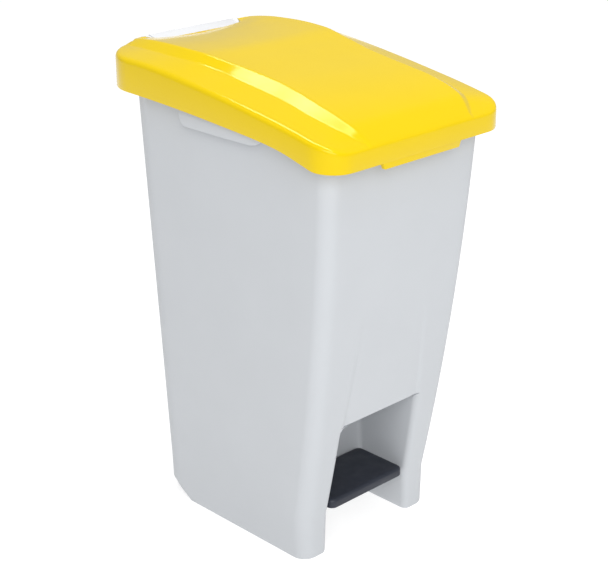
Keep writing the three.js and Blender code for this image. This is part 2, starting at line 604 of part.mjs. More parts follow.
// ---- side grips: an angle with a level top and a hanging face, open below for the fingers ----
for (const [label, side] of SIDES) {
  const { rear, front, top, bottom, outer } = GRIP;
  const face = [[rear, top], [rear - 1, bottom + 15], [rear - 9, bottom + 2], [rear - 14, bottom],
    [front + 32, bottom + 1], [front + 14, bottom + 7], [front + 4, bottom + 15], [front, top]];
  const shelf = box(0, side * outer, front, rear, top - WALL, top);
  const panel = box(side * (outer - WALL), side * outer, front, rear, bottom - 5, top);
  const grip = shelf.add(panel).intersect(extrude('x', face, -FAR, FAR))
    .subtract(tubBlock(FIT, 600, TUB_TOP));
  add(`side_grip_${label}`, grip, WHITE);
}

export default bin;
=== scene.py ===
"""Looks of a ninety-litre pedal bin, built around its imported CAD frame.

Sizes are in millimetres, as in the CAD source, and `MM` turns them into Blender's metres.
"""

import json
import math

import bmesh
import bpy
from mathutils import Matrix, Vector


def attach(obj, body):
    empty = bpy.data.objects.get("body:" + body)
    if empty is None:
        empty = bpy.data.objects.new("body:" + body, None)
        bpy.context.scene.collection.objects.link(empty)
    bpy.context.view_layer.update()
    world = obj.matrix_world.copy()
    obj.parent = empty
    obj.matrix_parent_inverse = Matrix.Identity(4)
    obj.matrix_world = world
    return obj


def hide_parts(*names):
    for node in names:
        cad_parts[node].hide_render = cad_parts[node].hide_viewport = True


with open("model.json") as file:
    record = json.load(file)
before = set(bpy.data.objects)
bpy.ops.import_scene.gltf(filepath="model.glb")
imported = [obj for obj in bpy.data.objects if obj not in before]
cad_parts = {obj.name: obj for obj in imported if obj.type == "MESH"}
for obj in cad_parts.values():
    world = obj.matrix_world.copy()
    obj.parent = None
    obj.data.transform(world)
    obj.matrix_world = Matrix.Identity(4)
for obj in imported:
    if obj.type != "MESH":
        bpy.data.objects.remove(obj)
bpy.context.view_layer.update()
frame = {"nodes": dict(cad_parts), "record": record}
MM = 0.001

# ---- the lid's dimensions ----
LID = {"half": 200, "front": -268, "rear": 268, "front_radius": 46, "rear_radius": 76}
LID_WALL = 3
LID_FILLET = 9
HANDLE = {"inner": 241.5, "outer": 268, "inner_z": 800, "outer_z": 806, "half": 91.6, "flare": 18}
HINGE_Z = 793
NOTCH_FRONT = 240.2
NOTCH_GAP = 0.6
REAR_CUT = {"half": 172, "y": 238, "top": 784}
BUFFER = {"x": 118, "y": -222}
TAB = {"half": 96, "chamfer": 12, "bottom": 687, "top": 716, "front": -267, "rear": -259}

# ---- the tub's dimensions ----
KINK_Z = 72
KINK = {"half": 153.3, "front": -166.3, "rear": 204}
TOP = {"z": 697, "half": 174.6, "front": -239.3, "rear": 228.5, "bow": 10.7}
FLOOR_HALF = 151.3
TUB_WALL = 3
TUB_RADIUS = {"front": 26, "rear": 57}
ALCOVE = {"half_floor": 96.8, "half_top": 88.9, "top": 238, "back": -57, "corner": 12, "edge": 12}
PANEL = {"top": 468, "top_half": 69.5, "depth": 2.7}
HEEL = {"front": 121, "rear": 163, "height": 25}
RIM = {"front_y": -228, "front_z": 735, "rear_y": 228, "rear_z": 783, "bead": 5, "end_y": 185}
GROOVE = {"half": 20, "floor": 207}
LEVER_GAP = 70
SLAB = {"bottom": 71, "top": 75}
SOLE = {"rear": -92, "thick": 4}
GRIP = {"rear": 77, "front": -120, "top": 733, "bottom": 707, "outer": 190}
HANDLE_FOOT = {"inner": 62, "outer": 88, "bottom": 700, "top": 772}
RAIL_SCREWS = [(75, 715), (75, 750)]
HANDLE_SEAT = 236
TREAD = {"half": 88, "front": -167, "back": -60, "top": 91, "height": 16, "corner": 12}
WHEEL = {"y": 150, "radius": 33, "inner": 105, "outer": 125, "rim": 24.3}


# ---- numbers ----
def curve(points):
    """A function that runs smoothly through the points without overshooting them."""
    xs = [p[0] for p in points]
    ys = [p[1] for p in points]
    rises = [(ys[i + 1] - ys[i]) / (xs[i + 1] - xs[i]) for i in range(len(xs) - 1)]
    slopes = [rises[0]]
    for left, right in zip(rises[:-1], rises[1:]):
        slopes.append(0 if left * right <= 0 else 2 * left * right / (left + right))
    slopes.append(rises[-1])

    def at(x):
        if x <= xs[0]:
            return ys[0]
        if x >= xs[-1]:
            return ys[-1]
        i = max(k for k in range(len(xs) - 1) if xs[k] <= x)
        gap = xs[i + 1] - xs[i]
        t = (x - xs[i]) / gap
        return (
            ys[i] * (1 + 2 * t) * (1 - t) ** 2
            + slopes[i] * gap * t * (1 - t) ** 2
            + ys[i + 1] * t * t * (3 - 2 * t)
            + slopes[i + 1] * gap * t * t * (t - 1)
        )

    return at


def mix(a, b, t):
    return a + (b - a) * t


def ease(t):
    t = min(max(t, 0), 1)
    return t * t * (3 - 2 * t)


def bezier(p0, p1, p2, t):
    return tuple((1 - t) ** 2 * a + 2 * t * (1 - t) * b + t * t * c for a, b, c in zip(p0, p1, p2))


def rounded(p0, p1, p2, t, weight):
    """A curve from p0 to p2 that keeps closer to its corner p1 as the weight grows."""
    a, b, c = (1 - t) ** 2, 2 * t * (1 - t) * weight, t * t
    return tuple((a * u + b * v + c * w) / (a + b + c) for u, v, w in zip(p0, p1, p2))


# ---- meshes ----
def link(obj):
    bpy.context.scene.collection.objects.link(obj)
    return obj


def settle(bm, sharp):
    """Merges doubled corners, turns the faces outwards and marks the edges that stay crisp."""
    bmesh.ops.remove_doubles(bm, verts=bm.verts, dist=0.02 * MM)
    bmesh.ops.dissolve_degenerate(bm, edges=bm.edges, dist=0.005 * MM)
    bmesh.ops.delete(bm, geom=[e for e in bm.edges if not e.link_faces], context="EDGES")
    bmesh.ops.recalc_face_normals(bm, faces=bm.faces)
    for face in bm.faces:
        face.smooth = True
    for edge in bm.edges:
        edge.smooth = edge.calc_face_angle(0) < math.radians(sharp)


def skin(name, points, faces, sharp=32):
    mesh = bpy.data.meshes.new(name)
    mesh.from_pydata([[c * MM for c in p] for p in points], [], faces)
    bm = bmesh.new()
    bm.from_mesh(mesh)
    settle(bm, sharp)
    bm.to_mesh(mesh)
    bm.free()
    return link(bpy.data.objects.new(name, mesh))


def prism(name, axis, outline, start, end, bevel=0.8, segments=3, sharp=32):
    """An outline pushed along an axis, with every crisp edge rounded by `bevel`."""
    place = {
        "x": lambda u, v, w: (w, u, v),
        "y": lambda u, v, w: (u, w, v),
        "z": lambda u, v, w: (u, v, w),
    }[axis]
    count = len(outline)
    points = [place(u, v, start) for u, v in outline] + [place(u, v, end) for u, v in outline]
    faces = [list(range(count)), list(range(count, 2 * count))]
    faces += [[i, (i + 1) % count, count + (i + 1) % count, count + i] for i in range(count)]
    obj = skin(name, points, faces)
    if bevel:
        round_edges(obj, bevel, segments, sharp)
    return obj


def round_edges(obj, width, segments=3, sharp=32):
    bm = bmesh.new()
    bm.from_mesh(obj.data)
    limit = math.radians(sharp)
    crisp = [e for e in bm.edges if e.is_manifold and e.calc_face_angle(0) > limit]
    bmesh.ops.bevel(
        bm, geom=crisp, offset=width * MM, segments=segments, affect="EDGES", profile=0.5,
        clamp_overlap=True,
    )
    settle(bm, 40)
    bm.to_mesh(obj.data)
    bm.free()


def lathe(name, axis, profile, a, b, segments=48, sharp=32):
    """A turned piece: (radius, position) points around an axis through (a, b)."""
    points = []
    for radius, h in profile:
        for i in range(segments):
            angle = 2 * math.pi * i / segments
            u, v = a + radius * math.cos(angle), b + radius * math.sin(angle)
            points.append({"x": (h, u, v), "y": (u, h, v), "z": (u, v, h)}[axis])
    faces = []
    for j in range(len(profile) - 1):
        for i in range(segments):
            k = (i + 1) % segments
            faces.append(
                [j * segments + i, j * segments + k, (j + 1) * segments + k, (j + 1) * segments + i]
            )
    return skin(name, points, faces, sharp)


def join(name, *objs):
    """One object of several meshes."""
    bm = bmesh.new()
    for obj in objs:
        bm.from_mesh(obj.data)
        bpy.data.objects.remove(obj)
    mesh = bpy.data.meshes.new(name)
    bm.to_mesh(mesh)
    bm.free()
    return link(bpy.data.objects.new(name, mesh))


def cut(obj, *tools):
    """Takes the tools' solids out of obj."""
    for tool in tools:
        modifier = obj.modifiers.new("cut", "BOOLEAN")
        modifier.operation = "DIFFERENCE"
        modifier.solver = "EXACT"
        modifier.object = tool
        graph = bpy.context.evaluated_depsgraph_get()
        mesh = bpy.data.meshes.new_from_object(obj.evaluated_get(graph))
        obj.modifiers.clear()
        obj.data = mesh
        bpy.data.objects.remove(tool)
    bm = bmesh.new()
    bm.from_mesh(obj.data)
    settle(bm, 32)
    bm.to_mesh(obj.data)
    bm.free()
    return obj


def place(obj, body, slot, material, *nodes):
    """Puts a finished piece on its CAD body, with its finish and the nodes that it stands for."""
    obj.data.materials.clear()
    obj.data.materials.append(material)
    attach(obj, body)
    if nodes:
        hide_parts(*nodes)
    return obj


# ---- the lid's surface ----
CREASE = curve([
    (-268, 727), (-247, 738), (-206, 747), (-123, 761), (-35, 774), (58, 785), (155, 793), (268, 795),
])
RIDGE = curve([
    (-268, 727), (-255, 738), (-228, 757), (-166, 776), (-102, 788), (-36, 797.5), (23, 806),
    (82, 813.5), (139, 815), (195, 813.5), (232, 810), (268, 804),
])
PLATEAU_HALF = curve([
    (-268, 108), (-256, 114), (-242, 120.5), (-213, 127), (-175, 127), (-128, 122.5), (-84, 119.5),
    (-45, 120.5), (0, 126), (40, 132), (81, 137.5), (124, 139), (163, 137.5), (231, 132.5),
    (268, 128),
])
BEVEL_WIDTH = curve([
    (-268, 2.5), (-242, 12.6), (-213, 18), (-175, 21.5), (-128, 23.5), (-84, 25), (-40, 24),
    (-2, 21), (26, 17), (81, 16), (124, 17), (163, 18), (231, 17.5), (268, 18),
])
BEVEL_DROP = curve([
    (-268, 1.2), (-242, 6.3), (-213, 9.2), (-175, 11), (-128, 12), (-84, 12.8), (-40, 12.4),
    (-2, 11.2), (26, 11.4), (81, 12), (124, 12.6), (163, 12.2), (231, 10), (268, 6),
])
DIP = curve([(-100, 0), (60, 2), (160, 6), (232, 9), (241, 9.5), (268, 0)])
SKIRT = curve([
    (-268, 697), (-235, 699), (-210, 705), (-165, 716), (-122, 722), (-33, 729), (60, 735),
    (157, 739), (268, 741),
])
KNEE = 1.6                          # half the width of the rounding at a fold
COLUMN = {"base": 741.6, "bore": 3.3, "radius": 9}
RIB = {"rows": (-140, -40, 60, 150), "inner": 60, "outer": 108}


def knee(x, at, height, before, after, reach):
    """Height of two slopes that meet at `at`, blended over `reach` to each side."""
    if x <= at - reach:
        return height + before * (x - at)
    if x >= at + reach:
        return height + after * (x - at)
    return height + before * (x - at) + (after - before) * (x - at + reach) ** 2 / (4 * reach)


def lid_lines(y, width):
    """Half-widths of the plateau and of the bevel's foot at y, inside `width`."""
    half = min(PLATEAU_HALF(y), width - 12)
    foot = min(half + BEVEL_WIDTH(y), width - 5)
    return half, foot, min(KNEE, (foot - half) * 0.2)


def lid_top(x, y, width=200):
    across = abs(x)
    ridge = RIDGE(y)
    crease = min(CREASE(y), ridge)
    half, foot, reach = lid_lines(y, width)
    low = max(ridge - BEVEL_DROP(y), crease)
    dip = DIP(y)
    steep = (low - ridge) / (foot - half)
    shelf = (crease - low) / (LID["half"] - foot)
    middle = (half + foot) / 2
    if across > middle:
        return knee(across, foot, low, steep, shelf, reach)
    if across > half - reach:
        return knee(across, half, ridge, 2 * dip / half, steep, reach)
    return ridge - dip * (1 - (across / half) ** 2)


def notch_half(y):
    return HANDLE["half"] + NOTCH_GAP + HANDLE["flare"] * (max(y, NOTCH_FRONT) - HANDLE["inner"]) / (
        HANDLE["outer"] - HANDLE["inner"]
    )


NOTCH_COLUMN = 6


def lid_row(y, width):
    """Distances from the middle of a row's corners, from the middle to `width`."""
    notch = notch_half(y)
    half, foot, reach = lid_lines(y, width)
    row = [notch * k / NOTCH_COLUMN for k in range(NOTCH_COLUMN + 1)]
    row += [mix(notch, half - 1.7 * reach, k / 3) for k in (1, 2, 3)]
    row += [half - reach]
    row += [half, half + reach, half + 1.7 * reach]
    row += [mix(half + 1.7 * reach, foot - 1.7 * reach, k / 3) for k in (1, 2, 3)]
    row += [foot - reach, foot, foot + reach, foot + 1.7 * reach]
    row += [mix(foot + 1.7 * reach, width, k / 5) for k in (1, 2, 3, 4, 5)]
    return row


def lid_rows():
    """Rows of the lid's top: (y, half-width, outward direction at the row's end)."""
    r = LID["front_radius"]
    rows = []
    for k in range(11):
        angle = math.pi / 2 * k / 10
        y = LID["front"] + r - (r - LID_FILLET) * math.cos(angle)
        width = LID["half"] - r + (r - LID_FILLET) * math.sin(angle)
        rows.append((y, width, (math.sin(angle), -math.cos(angle))))
    start, end = LID["front"] + r, LID["rear"] - LID["rear_radius"]
    for k in range(1, 36):
        rows.append((mix(start, end, k / 35), LID["half"] - LID_FILLET, (1, 0)))
    r = LID["rear_radius"]
    notch_angle = math.degrees(math.asin((NOTCH_FRONT - end) / (r - LID_FILLET)))
    cut_angle = math.degrees(math.acos((REAR_CUT["half"] - LID["half"] + r) / r))
    for degrees in (8, 16, 24, 32, 40, notch_angle, cut_angle - 0.3, cut_angle + 0.3, 58, 65, 72, 79,
                    85, 90):
        angle = math.radians(degrees)
        y = end + (r - LID_FILLET) * math.sin(angle)
        width = LID["half"] - r + (r - LID_FILLET) * math.cos(angle)
        rows.append((y, width, (math.cos(angle), math.sin(angle))))
    return rows


def lid_skin():
    rows = lid_rows()
    points, faces = [], []
    columns = 2 * len(lid_row(0, 190)) - 1
    middle = columns // 2
    for below in (0, LID_WALL + 0.3):
        for y, width, _ in rows:
            right = lid_row(y, width)
            for x in [-x for x in reversed(right[1:])] + right:
                points.append((x, y, lid_top(x, y, width) - below))
    layer = len(rows) * columns

    def in_notch(j, i):
        inside = middle - NOTCH_COLUMN <= i < middle + NOTCH_COLUMN
        return inside and rows[j][0] >= NOTCH_FRONT - 0.01

    for j in range(len(rows) - 1):
        for i in range(columns - 1):
            if in_notch(j, i):
                continue
            a = j * columns + i
            faces.append([a, a + 1, a + columns + 1, a + columns])
            faces.append([layer + n for n in (a, a + columns, a + columns + 1, a + 1)])

    # the edge of the notch
    first = next(j for j, row in enumerate(rows) if row[0] >= NOTCH_FRONT - 0.01)
    left, right = middle - NOTCH_COLUMN, middle + NOTCH_COLUMN
    lip = [j * columns + left for j in range(len(rows) - 1, first - 1, -1)]
    lip += [first * columns + i for i in range(left + 1, right)]
    lip += [j * columns + right for j in range(first, len(rows))]
    for a, b in zip(lip[:-1], lip[1:]):
        faces.append([a, b, layer + b, layer + a])

    # the border, from the notch's right end round the front to its left end
    last = len(rows) - 1
    border = [(last * columns + i, (0, 1)) for i in range(right, columns - 1)]
    border += [(j * columns + columns - 1, rows[j][2]) for j in range(last, -1, -1)]
    border += [(i, (0, -1)) for i in range(columns - 2, 0, -1)]
    border += [(j * columns, (-rows[j][2][0], rows[j][2][1])) for j in range(len(rows))]
    border += [(last * columns + i, (0, 1)) for i in range(1, left + 1)]
    strips = []
    for index, (nx, ny) in border:
        x, y, z = points[index]
        X, Y = x + nx * LID_FILLET, y + ny * LID_FILLET
        edge = lid_top(X, Y)
        cut_away = abs(X) < REAR_CUT["half"] and Y > REAR_CUT["y"]
        low = REAR_CUT["top"] if cut_away else SKIRT(Y)
        inner = (X - nx * LID_WALL, Y - ny * LID_WALL)
        # the front crease is tighter than the sides
        tight = 1 + 2.5 * max(0, -ny) ** 3
        ring = [
            rounded((x, y, z), (X, Y, edge), (X, Y, edge - LID_FILLET), k / 9, tight)
            for k in range(1, 10)
        ]
        if ring[-1][2] < low + 2:
            ring = [(p[0], p[1], max(p[2], low + 2 + 0.1 * (9 - k))) for k, p in enumerate(ring)]
        ring += [(X, Y, low + 1.5), (X - 0.44 * nx, Y - 0.44 * ny, low + 0.44)]
        ring += [(X - 1.5 * nx, Y - 1.5 * ny, low)]
        ring += [(X - 2.56 * nx, Y - 2.56 * ny, low + 0.44), (*inner, low + 1.5)]
        rise = max(edge - 12, low + 1.6)
        under = points[layer + index]
        ring += [bezier((*inner, rise), (*inner, max(edge - 3.6, rise)), under, k / 5) for k in range(5)]
        strips.append([index, *range(len(points), len(points) + len(ring)), layer + index])
        points += ring
    for one, two in zip(strips[:-1], strips[1:]):
        for k in range(len(one) - 1):
            faces.append([one[k], one[k + 1], two[k + 1], two[k]])
    faces.append(strips[0])
    faces.append(strips[-1])
    return skin("lid_skin", points, faces, 38)


def notch_wall():
    """The wall that hangs from the notch's edge, around the handle."""
    path = [(notch_half(y), y) for y in (266, 258, 250, NOTCH_FRONT)]
    path = path + [(-x, y) for x, y in reversed(path)]
    points, faces = [], []
    for x, y in path:
        out = math.copysign(LID_WALL, x)
        back = -LID_WALL if abs(y - NOTCH_FRONT) < 0.1 else 0
        top = lid_top(x, y) - LID_WALL - 0.2
        points += [(x, y, REAR_CUT["top"]), (x, y, top)]
        points += [(x + out, y + back, top), (x + out, y + back, REAR_CUT["top"])]
    for j in range(len(path) - 1):
        for k in range(4):
            n = (k + 1) % 4
            faces.append([4 * j + k, 4 * j + n, 4 * j + 4 + n, 4 * j + 4 + k])
    faces += [[0, 1, 2, 3], [4 * len(path) - n for n in (4, 3, 2, 1)]]
    return skin("notch_wall", points, faces)


def make_lid():
    tab = prism(
        "tab", "y",
        [(-TAB["half"], TAB["top"]), (-TAB["half"] + TAB["chamfer"], TAB["bottom"]),
         (TAB["half"] - TAB["chamfer"], TAB["bottom"]), (TAB["half"], TAB["top"])],
        TAB["front"], TAB["rear"], 1.4,
    )
    parts = [lid_skin(), notch_wall(), tab]
    for side in (-1, 1):
        x, y = side * BUFFER["x"], BUFFER["y"]
        top = min(lid_top(x + dx, y + dy) for dx in (-9, 0, 9) for dy in (-9, 0, 9)) - 0.8
        base, bore, radius = COLUMN["base"], COLUMN["bore"], COLUMN["radius"]
        parts.append(lathe(
            "column", "z",
            [(bore, base), (radius - 0.8, base), (radius, base + 0.8), (radius, top), (0, top),
             (0, base + 8), (bore, base + 8), (bore, base)], x, y, 32,
        ))
        mount = [(side * 10, 214), (side * 20, 214), (side * 20, 237), (side * 10, 237)]
        parts.append(prism("mount", "z", mount, 792, lid_top(15, 225) - 1.5, 0.6))
        for rib_y in RIB["rows"]:
            inner, outer = side * RIB["inner"], side * RIB["outer"]
            rib = [(inner, lid_top(inner, rib_y) - 2), (outer, lid_top(outer, rib_y) - 2),
                   (outer, lid_top(outer, rib_y) - 7), (inner, lid_top(inner, rib_y) - 9)]
            parts.append(prism("rib", "y", rib, rib_y - 1.1, rib_y + 1.1, 0.4, 2))
    return join("lid_cover", *parts)


# ---- the tub's surface ----
def tub_rise(z):
    return (z - KINK_Z) / (TOP["z"] - KINK_Z)


def kinked(z, below, above):
    """Blends the upright foot of the tub into its sloping wall."""
    t = ease((z - KINK_Z + 8) / 16)
    return mix(below(z), above(z), t)


def tub_half(z):
    return kinked(
        z,
        lambda h: mix(FLOOR_HALF, KINK["half"], h / KINK_Z),
        lambda h: mix(KINK["half"], TOP["half"], tub_rise(h)),
    )


def tub_front(z):
    def above(h):
        s = tub_rise(h)
        return mix(KINK["front"], TOP["front"], s) - 4 * TOP["bow"] * s * (1 - s)

    return kinked(z, lambda h: KINK["front"], above)


def tub_rear(z):
    return kinked(z, lambda h: KINK["rear"], lambda h: mix(KINK["rear"], TOP["rear"], tub_rise(h)))


def rim_z(y):
    return mix(RIM["front_z"], RIM["rear_z"], (y - RIM["front_y"]) / (RIM["rear_y"] - RIM["front_y"]))


def heel_z(y):
    return HEEL["height"] * min(max((y - HEEL["front"]) / (HEEL["rear"] - HEEL["front"]), 0), 1)


def crease_half(z):
    return mix(ALCOVE["half_top"], PANEL["top_half"],
               min((z - ALCOVE["top"]) / (PANEL["top"] - ALCOVE["top"]), 1))


def panel_depth(z):
    return PANEL["depth"] * (1 - ease((z - ALCOVE["top"]) / (PANEL["top"] - ALCOVE["top"])))


FRONT_COLUMNS = 16


def panel_part(z, front):
    half, depth = crease_half(z), panel_depth(z)
    part = [((half - 5) * k / 9, front + depth) for k in range(10)]
    for step in (-3, 0, 3, 6, 9, 12):
        part.append((half + step, front + depth * (1 - ease((step + 4) / 9))))
    return part


def alcove_part(z, front, inset):
    top = ALCOVE["top"] + inset
    nominal = mix(ALCOVE["half_floor"], ALCOVE["half_top"], z / ALCOVE["top"]) + inset
    corner = ALCOVE["corner"]
    climb = min(max((z - top + corner) / corner, 0), 1)
    half = nominal - corner * (1 - math.sqrt(max(1 - climb * climb, 0)))
    reach = nominal + ALCOVE["edge"] - inset - half
    depth = mix(ALCOVE["edge"] - inset, 3, climb)
    back = ALCOVE["back"] + inset
    r = 8
    part = [(0, back), (LEVER_GAP / 2, back), (LEVER_GAP, back), (half - r, back)]
    if half - r < LEVER_GAP:
        part[2] = (half - r - 2, back)
    for k in (1, 2, 3):
        angle = math.pi / 2 * k / 3
        part.append((half - r + r * math.sin(angle), back - r + r * math.cos(angle)))
    part += [(half, mix(back - r, front + depth, k / 3)) for k in (1, 2, 3)]
    for k in range(1, 7):
        angle = math.pi / 2 * k / 6
        part.append((half + reach * (1 - math.cos(angle)), front + depth * (1 - math.sin(angle))))
    return part


def tub_half_ring(z, inset, alcove):
    """Right half of the tub's outline at height z, from the middle of the front to the rear's."""
    half, front, rear = tub_half(z) - inset, tub_front(z) + inset, tub_rear(z) - inset
    fr, rr = TUB_RADIUS["front"] - inset, TUB_RADIUS["rear"] - inset
    ring = alcove_part(z, front, inset) if alcove else panel_part(z, front)
    last = ring[-1][0]
    ring += [(mix(last, half - fr, k / 4), front) for k in (1, 2, 3, 4)]
    for k in range(1, 10):
        angle = math.pi / 2 * k / 9
        ring.append((half - fr + fr * math.sin(angle), front + fr - fr * math.cos(angle)))
    ring += [(half, mix(front + fr, HEEL["front"], k / 6)) for k in range(1, 7)]
    ring += [(half, mix(HEEL["front"], rear - rr, k / 2)) for k in (1, 2)]
    for degrees in (8, 16.3, 25, 34, 43, 52, 61, 70, 80, 90):
        angle = math.radians(degrees)
        ring.append((half - rr + rr * math.cos(angle), rear - rr + rr * math.sin(angle)))
    edge = GROOVE["half"] + inset
    floor = min(rear, GROOVE["floor"] - inset)
    chamfer = min(1.5, (rear - floor) / 2)
    ring += [(mix(half - rr, edge + 1.5, k / 4), rear) for k in (1, 2, 3, 4)]
    ring += [(edge, rear - chamfer), (edge, floor + chamfer), (edge - 1.5, floor), (0, floor)]
    return ring


HALF_COLUMNS = len(tub_half_ring(300, 0, False))
GROOVE_COLUMN = HALF_COLUMNS - 3


def full_ring(half_ring, height):
    """A closed ring of points from its right half, at height(x, y)."""
    right = [(x, y, height(x, y)) for x, y in half_ring]
    left = [(-x, y, z) for x, y, z in reversed(right[1:-1])]
    return right + left


def level_ring(z, inset, alcove=False):
    """A ring at one level. Below the kink the levels close up towards the raised heel."""
    if z >= KINK_Z:
        return full_ring(tub_half_ring(z, inset, alcove), lambda x, y: z)

    def height(x, y):
        low = heel_z(y)
        return low + z * (KINK_Z - low) / KINK_Z

    return full_ring(tub_half_ring(z, inset, alcove), height)


def rim_ring(drop, inset, bead=0.0):
    """A ring that follows the sloping rim, `drop` below it."""
    ring = []
    for k, (x, y) in enumerate(tub_half_ring(740, inset, False)):
        out = bead * (1 - ease((y - RIM["end_y"] + 2) / 4))
        z = rim_z(y) - drop
        x, y = tub_half_ring(z, inset - out, False)[k]
        ring.append((x, y))
    return full_ring(ring, lambda x, y: rim_z(y) - drop)


def make_tub():
    wall = TUB_WALL
    top = ALCOVE["top"]
    rings = []

    def put(ring, kind=""):
        rings.append((ring, kind))

    put(level_ring(SLAB["top"], wall + 8, True), "floor")
    for z, inset in ((SLAB["top"] + 2.3, wall + 2.3), (SLAB["top"] + 8, wall)):
        put(level_ring(z, inset, True))
    for z in (120, 160, 200, 229, 233, 236.5, 239.5, top + wall):
        put(level_ring(z, wall, True))
    ledge = level_ring(top + wall, wall)
    for k in range(FRONT_COLUMNS - 1, len(ledge) - FRONT_COLUMNS + 2):
        ledge[k] = rings[-1][0][k]
    put(ledge, "ledge")
    for z in (260, 300, 350, 400, 450, 500, 550, 600, 650, 700):
        put(level_ring(z, wall))
    put(rim_ring(12, wall))
    put(rim_ring(1.5, wall))
    put(rim_ring(0.4, wall - 0.5))
    put(rim_ring(0, wall - 1.5))
    put(rim_ring(0, 0.5, 4))
    put(rim_ring(0.5, 0, 4.6))
    put(rim_ring(2, 0, RIM["bead"]))
    put(rim_ring(6.5, 0, RIM["bead"]))
    put(rim_ring(7.8, 0, 3.8))
    put(rim_ring(8.2, 0, 1.2))
    put(rim_ring(9.2, 0))
    for z in (697, 670, 640, 610, 580, 550, 520, 495, 470, 450, 430, 410, 390, 370, 350, 330, 310,
              290, 270, 252, top + 1.2):
        put(level_ring(z, 0))
    soft = level_ring(top, 0)
    shift = [0.0] * len(soft)
    for k in range(FRONT_COLUMNS - 3):
        shift[k] = shift[-k] = 1.2
    put([(x, y + d, z) for (x, y, z), d in zip(soft, shift)])
    put(level_ring(top, 0, True), "ceiling")
    for z in (237.6, 236.6, 235, 232.5, 229.5, 226, 215, 200, 180, 160, 140, 120, 104, 92, 84, 80, 76,
              SLAB["bottom"]):
        put(level_ring(z, 0, True))
    opening = len(rings) - 1
    for z, inset in ((67, 0), (62, 0), (50, 0), (36, 0), (22, 0), (10, 0), (3, 0), (0.9, 0.5), (0, 1.5),
                     (0, 2.3), (0.5, 2.9), (2, wall), (30, wall), (60, wall)):
        put(level_ring(z, inset, True))
    put(level_ring(SLAB["bottom"], wall, True), "roof")

    points, faces = [], []
    size = len(rings[0][0])
    for ring, _ in rings:
        points += ring

    def in_gap(k):
        k = min(k, size - 1 - k)
        return k < 2 or k >= GROOVE_COLUMN - 1

    for j in range(len(rings) - 1):
        flat = rings[j + 1][1] in ("ledge", "ceiling")
        for k in range(size):
            n = (k + 1) % size
            if flat and FRONT_COLUMNS - 1 <= min(k, size - 1 - k):
                continue
            if j >= opening and in_gap(k):
                continue
            faces.append([j * size + k, j * size + n, (j + 1) * size + n, (j + 1) * size + k])
    faces.append(list(range(size)))
    end = (len(rings) - 1) * size
    faces.append(list(range(end, end + size)))
    low = opening * size
    for k in range(size):
        if in_gap(k):
            n = (k + 1) % size
            faces.append([low + k, low + n, end + n, end + k])
    for k in (2, GROOVE_COLUMN - 1):
        for column in (k, size - k):
            faces.append([j * size + column for j in range(opening, len(rings))])
    return skin("tub_skin", points, faces, 34)


# ---- the rear handle and its hinge blocks ----
def make_handle():
    inner, outer = HANDLE["inner"], HANDLE["outer"]
    bar = [(inner, HANDLE["inner_z"] - 2.5), (inner + 2.5, HANDLE["inner_z"] + 0.3),
           (outer - 2.5, HANDLE["outer_z"]), (outer, HANDLE["outer_z"] - 3), (outer, HINGE_Z - 5),
           (outer - 4, HINGE_Z - 9), (inner + 6, HINGE_Z - 9), (inner, HINGE_Z - 2)]
    parts = [prism("bar", "x", bar, -HANDLE["half"], HANDLE["half"], 1.0, 4, 20)]
    low, top = HANDLE_FOOT["bottom"], HANDLE_FOOT["top"]
    arm = [(inner + 8, HINGE_Z - 7), (outer - 6, HINGE_Z - 7), (outer - 6, HINGE_Z - 12),
           (inner + 1, top - 12), (tub_rear(low) + 6, low), (tub_rear(low) + 0.3, low),
           (tub_rear(top) + 0.3, top)]
    for side in (-1, 1):
        start, end = sorted((side * HANDLE_FOOT["inner"], side * HANDLE_FOOT["outer"]))
        foot = prism("foot", "x", arm, start, end, 1.5, 4, 20)
        wells = [
            lathe("well", "y", [(0, HANDLE_SEAT), (5, HANDLE_SEAT), (5, 300), (0, 300)], side * x, z, 24)
            for x, z in RAIL_SCREWS
        ]
        parts.append(cut(foot, *wells))
    return join("handle_grip", *parts)


def make_hinge_block(label, side):
    near = HANDLE["half"] + NOTCH_GAP
    y0, y1 = HANDLE["inner"] + 0.5, 266
    outline = [(side * near, y0), (side * near, y1), (side * (notch_half(y1) - 0.3), y1),
               (side * (notch_half(y0) - 0.3), y0)]
    block = prism(f"hinge_cover_{label}", "z", outline, 785, HANDLE["outer_z"] - 1, 0)
    for vertex in block.data.vertices:
        if vertex.co.z > 790 * MM:
            y = vertex.co.y / MM
            vertex.co.z = MM * mix(HANDLE["inner_z"] - 1.4, HANDLE["outer_z"] - 1,
                                   (y - HANDLE["inner"]) / (HANDLE["outer"] - HANDLE["inner"]))
    round_edges(block, 0.8, 3, 20)
    return block


